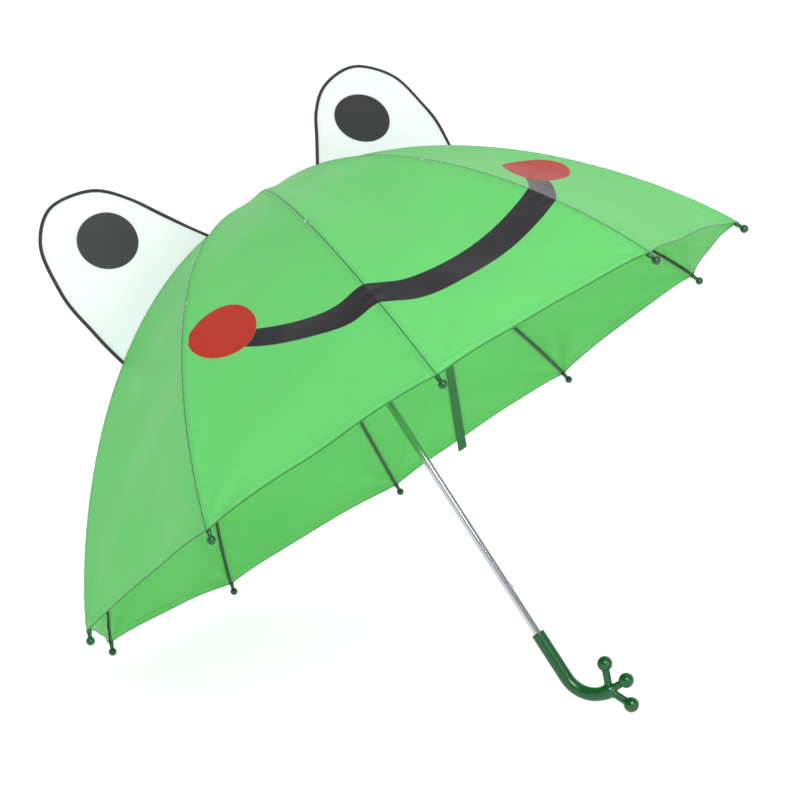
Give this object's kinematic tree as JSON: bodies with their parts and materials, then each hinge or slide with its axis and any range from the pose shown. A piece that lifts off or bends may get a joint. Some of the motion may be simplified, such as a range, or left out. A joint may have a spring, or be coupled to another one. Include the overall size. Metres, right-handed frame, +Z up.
{
  "type": "children's umbrella",
  "caption": "Open child's umbrella with a ten-gore cloth dome, frog eyes and smile, folding ribs and runner on a steel shaft, and a hooked handle with toes.",
  "frame": {"origin": "on the ground under the middle of the whole, with the umbrella open and lying on two rib tips and a toe of its handle", "axes": "+Z up from the ground, +X along the ground from the canopy towards the handle, in the plane of the shaft"},
  "size_m": [0.5732, 0.7174, 0.5514],
  "materials": {
    "steel": "bright plated tube",
    "dark_steel": "dark lacquered rod with green ball tip",
    "green_plastic": "glossy moulded",
    "white_plastic": "satin moulded",
    "green_cloth": "thin woven nylon, slight sheen",
    "white_cloth": "thin woven nylon with dark piping",
    "dark_cloth": "woven strap"
  },
  "bodies": {
    "shaft": {"shaft_tube": "steel", "crown": "white_plastic", "top_cap": "green_plastic", "handle": "green_plastic"},
    "runner": {"runner": "white_plastic"},
    "top_catch": {"top_catch": "steel"},
    "bottom_catch": {"bottom_catch": "steel"},
    "rib_inner_01": {"rib_inner_01": "dark_steel", "gore_upper_01": "green_cloth"},
    "rib_outer_01": {"rib_outer_01": "dark_steel", "gore_lower_01": "green_cloth"},
    "stretcher_01": {"stretcher_01": "steel"},
    "rib_inner_02": {"rib_inner_02": "dark_steel", "gore_upper_02": "green_cloth"},
    "rib_outer_02": {"rib_outer_02": "dark_steel", "gore_lower_02": "green_cloth"},
    "stretcher_02": {"stretcher_02": "steel"},
    "rib_inner_03": {"rib_inner_03": "dark_steel", "gore_upper_03": "green_cloth"},
    "rib_outer_03": {"rib_outer_03": "dark_steel", "gore_lower_03": "green_cloth"},
    "stretcher_03": {"stretcher_03": "steel"},
    "rib_inner_04": {"rib_inner_04": "dark_steel", "gore_upper_04": "green_cloth"},
    "rib_outer_04": {"rib_outer_04": "dark_steel", "gore_lower_04": "green_cloth"},
    "stretcher_04": {"stretcher_04": "steel"},
    "rib_inner_05": {"rib_inner_05": "dark_steel", "gore_upper_05": "green_cloth"},
    "rib_outer_05": {"rib_outer_05": "dark_steel", "gore_lower_05": "green_cloth"},
    "stretcher_05": {"stretcher_05": "steel"},
    "rib_inner_06": {"rib_inner_06": "dark_steel", "gore_upper_06": "green_cloth"},
    "rib_outer_06": {"rib_outer_06": "dark_steel", "gore_lower_06": "green_cloth"},
    "stretcher_06": {"stretcher_06": "steel"},
    "rib_inner_07": {"rib_inner_07": "dark_steel", "gore_upper_07": "green_cloth"},
    "rib_outer_07": {"rib_outer_07": "dark_steel", "gore_lower_07": "green_cloth", "tie_strap": "dark_cloth"},
    "stretcher_07": {"stretcher_07": "steel"},
    "rib_inner_08": {"rib_inner_08": "dark_steel", "gore_upper_08": "green_cloth"},
    "rib_outer_08": {"rib_outer_08": "dark_steel", "gore_lower_08": "green_cloth"},
    "stretcher_08": {"stretcher_08": "steel"},
    "rib_inner_09": {"rib_inner_09": "dark_steel", "gore_upper_09": "green_cloth"},
    "rib_outer_09": {"rib_outer_09": "dark_steel", "gore_lower_09": "green_cloth"},
    "stretcher_09": {"stretcher_09": "steel"},
    "rib_inner_10": {"rib_inner_10": "dark_steel", "gore_upper_10": "green_cloth"},
    "rib_outer_10": {"rib_outer_10": "dark_steel", "gore_lower_10": "green_cloth"},
    "stretcher_10": {"stretcher_10": "steel"},
    "eye_left": {"eye_left": "white_cloth"},
    "eye_right": {"eye_right": "white_cloth"}
  },
  "joints": [
    {"name": "runner_slide", "type": "slide", "parent": "shaft", "child": "runner", "axis": [0.6148, 0, -0.7887], "range_m": [0, 0.297], "deforming": ["gore_upper_01", "gore_upper_02", "gore_upper_03", "gore_upper_04", "gore_upper_05", "gore_upper_06", "gore_upper_07", "gore_upper_08", "gore_upper_09", "gore_upper_10", "gore_lower_01", "gore_lower_02", "gore_lower_03", "gore_lower_04", "gore_lower_05", "gore_lower_06", "gore_lower_07", "gore_lower_08", "gore_lower_09", "gore_lower_10", "tie_strap"]},
    {"name": "top_catch_press", "type": "slide", "parent": "shaft", "child": "top_catch", "axis": [-0.7887, 0, -0.6148], "range_m": [0, 0.0017], "stiffness_N_per_m": 600},
    {"name": "bottom_catch_press", "type": "slide", "parent": "shaft", "child": "bottom_catch", "axis": [-0.7887, 0, -0.6148], "range_m": [0, 0.0017], "stiffness_N_per_m": 600},
    {"name": "rib_hinge_01", "type": "hinge", "parent": "shaft", "child": "rib_inner_01", "pos_m": [-0.15471, -0.00728, 0.42892], "axis": [0.638, -0.5878, 0.4974], "range_deg": [0, 63.82]},
    {"name": "rib_flex_01", "type": "hinge", "parent": "rib_inner_01", "child": "rib_outer_01", "pos_m": [-0.19506, -0.17232, 0.28565], "axis": [-0.638, 0.5878, -0.4974], "range_deg": [0, 26.61]},
    {"name": "stretcher_hinge_01", "type": "hinge", "parent": "runner", "child": "stretcher_01", "pos_m": [-0.07255, -0.00728, 0.32353], "axis": [-0.638, 0.5878, -0.4974], "range_deg": [0, 74.45]},
    {"name": "rib_hinge_02", "type": "hinge", "parent": "shaft", "child": "rib_inner_02", "pos_m": [-0.15054, -0.009, 0.43217], "axis": [0.7887, 0, 0.6148], "range_deg": [0, 63.82]},
    {"name": "rib_flex_02", "type": "hinge", "parent": "rib_inner_02", "child": "rib_outer_02", "pos_m": [-0.09632, -0.213, 0.36262], "axis": [-0.7887, 0, -0.6148], "range_deg": [0, 26.61]},
    {"name": "stretcher_hinge_02", "type": "hinge", "parent": "runner", "child": "stretcher_02", "pos_m": [-0.06838, -0.009, 0.32678], "axis": [-0.7887, 0, -0.6148], "range_deg": [0, 74.45]},
    {"name": "rib_hinge_03", "type": "hinge", "parent": "shaft", "child": "rib_inner_03", "pos_m": [-0.14637, -0.00728, 0.43543], "axis": [0.638, 0.5878, 0.4974], "range_deg": [0, 63.82]},
    {"name": "rib_flex_03", "type": "hinge", "parent": "rib_inner_03", "child": "rib_outer_03", "pos_m": [0.00242, -0.17232, 0.4396], "axis": [-0.638, -0.5878, -0.4974], "range_deg": [0, 26.61]},
    {"name": "stretcher_hinge_03", "type": "hinge", "parent": "runner", "child": "stretcher_03", "pos_m": [-0.06421, -0.00728, 0.33004], "axis": [-0.638, -0.5878, -0.4974], "range_deg": [0, 74.45]},
    {"name": "rib_hinge_04", "type": "hinge", "parent": "shaft", "child": "rib_inner_04", "pos_m": [-0.14379, -0.00278, 0.43744], "axis": [0.2437, 0.9511, 0.19], "range_deg": [0, 63.82]},
    {"name": "rib_flex_04", "type": "hinge", "parent": "rib_inner_04", "child": "rib_outer_04", "pos_m": [0.06345, -0.06582, 0.48717], "axis": [-0.2437, -0.9511, -0.19], "range_deg": [0, 26.61]},
    {"name": "stretcher_hinge_04", "type": "hinge", "parent": "runner", "child": "stretcher_04", "pos_m": [-0.06163, -0.00278, 0.33205], "axis": [-0.2437, -0.9511, -0.19], "range_deg": [0, 74.45]},
    {"name": "rib_hinge_05", "type": "hinge", "parent": "shaft", "child": "rib_inner_05", "pos_m": [-0.14379, 0.00278, 0.43744], "axis": [-0.2437, 0.9511, -0.19], "range_deg": [0, 63.82]},
    {"name": "rib_flex_05", "type": "hinge", "parent": "rib_inner_05", "child": "rib_outer_05", "pos_m": [0.06345, 0.06582, 0.48717], "axis": [0.2437, -0.9511, 0.19], "range_deg": [0, 26.61]},
    {"name": "stretcher_hinge_05", "type": "hinge", "parent": "runner", "child": "stretcher_05", "pos_m": [-0.06163, 0.00278, 0.33205], "axis": [0.2437, -0.9511, 0.19], "range_deg": [0, 74.45]},
    {"name": "rib_hinge_06", "type": "hinge", "parent": "shaft", "child": "rib_inner_06", "pos_m": [-0.14637, 0.00728, 0.43543], "axis": [-0.638, 0.5878, -0.4974], "range_deg": [0, 63.82]},
    {"name": "rib_flex_06", "type": "hinge", "parent": "rib_inner_06", "child": "rib_outer_06", "pos_m": [0.00242, 0.17232, 0.4396], "axis": [0.638, -0.5878, 0.4974], "range_deg": [0, 26.61]},
    {"name": "stretcher_hinge_06", "type": "hinge", "parent": "runner", "child": "stretcher_06", "pos_m": [-0.06421, 0.00728, 0.33004], "axis": [0.638, -0.5878, 0.4974], "range_deg": [0, 74.45]},
    {"name": "rib_hinge_07", "type": "hinge", "parent": "shaft", "child": "rib_inner_07", "pos_m": [-0.15054, 0.009, 0.43217], "axis": [-0.7887, 0, -0.6148], "range_deg": [0, 63.82]},
    {"name": "rib_flex_07", "type": "hinge", "parent": "rib_inner_07", "child": "rib_outer_07", "pos_m": [-0.09632, 0.213, 0.36262], "axis": [0.7887, 0, 0.6148], "range_deg": [0, 26.61]},
    {"name": "stretcher_hinge_07", "type": "hinge", "parent": "runner", "child": "stretcher_07", "pos_m": [-0.06838, 0.009, 0.32678], "axis": [0.7887, 0, 0.6148], "range_deg": [0, 74.45]},
    {"name": "rib_hinge_08", "type": "hinge", "parent": "shaft", "child": "rib_inner_08", "pos_m": [-0.15471, 0.00728, 0.42892], "axis": [-0.638, -0.5878, -0.4974], "range_deg": [0, 63.82]},
    {"name": "rib_flex_08", "type": "hinge", "parent": "rib_inner_08", "child": "rib_outer_08", "pos_m": [-0.19506, 0.17232, 0.28565], "axis": [0.638, 0.5878, 0.4974], "range_deg": [0, 26.61]},
    {"name": "stretcher_hinge_08", "type": "hinge", "parent": "runner", "child": "stretcher_08", "pos_m": [-0.07255, 0.00728, 0.32353], "axis": [0.638, 0.5878, 0.4974], "range_deg": [0, 74.45]},
    {"name": "rib_hinge_09", "type": "hinge", "parent": "shaft", "child": "rib_inner_09", "pos_m": [-0.15729, 0.00278, 0.42691], "axis": [-0.2437, -0.9511, -0.19], "range_deg": [0, 63.82]},
    {"name": "rib_flex_09", "type": "hinge", "parent": "rib_inner_09", "child": "rib_outer_09", "pos_m": [-0.25608, 0.06582, 0.23808], "axis": [0.2437, 0.9511, 0.19], "range_deg": [0, 26.61]},
    {"name": "stretcher_hinge_09", "type": "hinge", "parent": "runner", "child": "stretcher_09", "pos_m": [-0.07513, 0.00278, 0.32152], "axis": [0.2437, 0.9511, 0.19], "range_deg": [0, 74.45]},
    {"name": "rib_hinge_10", "type": "hinge", "parent": "shaft", "child": "rib_inner_10", "pos_m": [-0.15729, -0.00278, 0.42691], "axis": [0.2437, -0.9511, 0.19], "range_deg": [0, 63.82]},
    {"name": "rib_flex_10", "type": "hinge", "parent": "rib_inner_10", "child": "rib_outer_10", "pos_m": [-0.25608, -0.06582, 0.23808], "axis": [-0.2437, 0.9511, -0.19], "range_deg": [0, 26.61]},
    {"name": "stretcher_hinge_10", "type": "hinge", "parent": "runner", "child": "stretcher_10", "pos_m": [-0.07513, -0.00278, 0.32152], "axis": [-0.2437, 0.9511, -0.19], "range_deg": [0, 74.45]},
    {"name": "eye_left_lean", "type": "hinge", "parent": "rib_inner_01", "child": "eye_left", "pos_m": [-0.19311, -0.10545, 0.36218], "axis": [-0.139, -0.7233, -0.6764], "range_deg": [-27, 60]},
    {"name": "eye_right_lean", "type": "hinge", "parent": "rib_inner_06", "child": "eye_right", "pos_m": [-0.07227, 0.10545, 0.45638], "axis": [-0.6899, -0.7233, 0.0302], "range_deg": [-37, 50]}
  ],
  "couplings": [
    {"joint": "rib_hinge_01", "follows": "runner_slide", "rad_per_m": 3.7387},
    {"joint": "rib_flex_01", "follows": "runner_slide", "rad_per_m": 1.552},
    {"joint": "stretcher_hinge_01", "follows": "runner_slide", "rad_per_m": 4.3634},
    {"joint": "rib_hinge_02", "follows": "runner_slide", "rad_per_m": 3.7387},
    {"joint": "rib_flex_02", "follows": "runner_slide", "rad_per_m": 1.552},
    {"joint": "stretcher_hinge_02", "follows": "runner_slide", "rad_per_m": 4.3634},
    {"joint": "rib_hinge_03", "follows": "runner_slide", "rad_per_m": 3.7387},
    {"joint": "rib_flex_03", "follows": "runner_slide", "rad_per_m": 1.552},
    {"joint": "stretcher_hinge_03", "follows": "runner_slide", "rad_per_m": 4.3634},
    {"joint": "rib_hinge_04", "follows": "runner_slide", "rad_per_m": 3.7387},
    {"joint": "rib_flex_04", "follows": "runner_slide", "rad_per_m": 1.552},
    {"joint": "stretcher_hinge_04", "follows": "runner_slide", "rad_per_m": 4.3634},
    {"joint": "rib_hinge_05", "follows": "runner_slide", "rad_per_m": 3.7387},
    {"joint": "rib_flex_05", "follows": "runner_slide", "rad_per_m": 1.552},
    {"joint": "stretcher_hinge_05", "follows": "runner_slide", "rad_per_m": 4.3634},
    {"joint": "rib_hinge_06", "follows": "runner_slide", "rad_per_m": 3.7387},
    {"joint": "rib_flex_06", "follows": "runner_slide", "rad_per_m": 1.552},
    {"joint": "stretcher_hinge_06", "follows": "runner_slide", "rad_per_m": 4.3634},
    {"joint": "rib_hinge_07", "follows": "runner_slide", "rad_per_m": 3.7387},
    {"joint": "rib_flex_07", "follows": "runner_slide", "rad_per_m": 1.552},
    {"joint": "stretcher_hinge_07", "follows": "runner_slide", "rad_per_m": 4.3634},
    {"joint": "rib_hinge_08", "follows": "runner_slide", "rad_per_m": 3.7387},
    {"joint": "rib_flex_08", "follows": "runner_slide", "rad_per_m": 1.552},
    {"joint": "stretcher_hinge_08", "follows": "runner_slide", "rad_per_m": 4.3634},
    {"joint": "rib_hinge_09", "follows": "runner_slide", "rad_per_m": 3.7387},
    {"joint": "rib_flex_09", "follows": "runner_slide", "rad_per_m": 1.552},
    {"joint": "stretcher_hinge_09", "follows": "runner_slide", "rad_per_m": 4.3634},
    {"joint": "rib_hinge_10", "follows": "runner_slide", "rad_per_m": 3.7387},
    {"joint": "rib_flex_10", "follows": "runner_slide", "rad_per_m": 1.552},
    {"joint": "stretcher_hinge_10", "follows": "runner_slide", "rad_per_m": 4.3634}
  ]
}
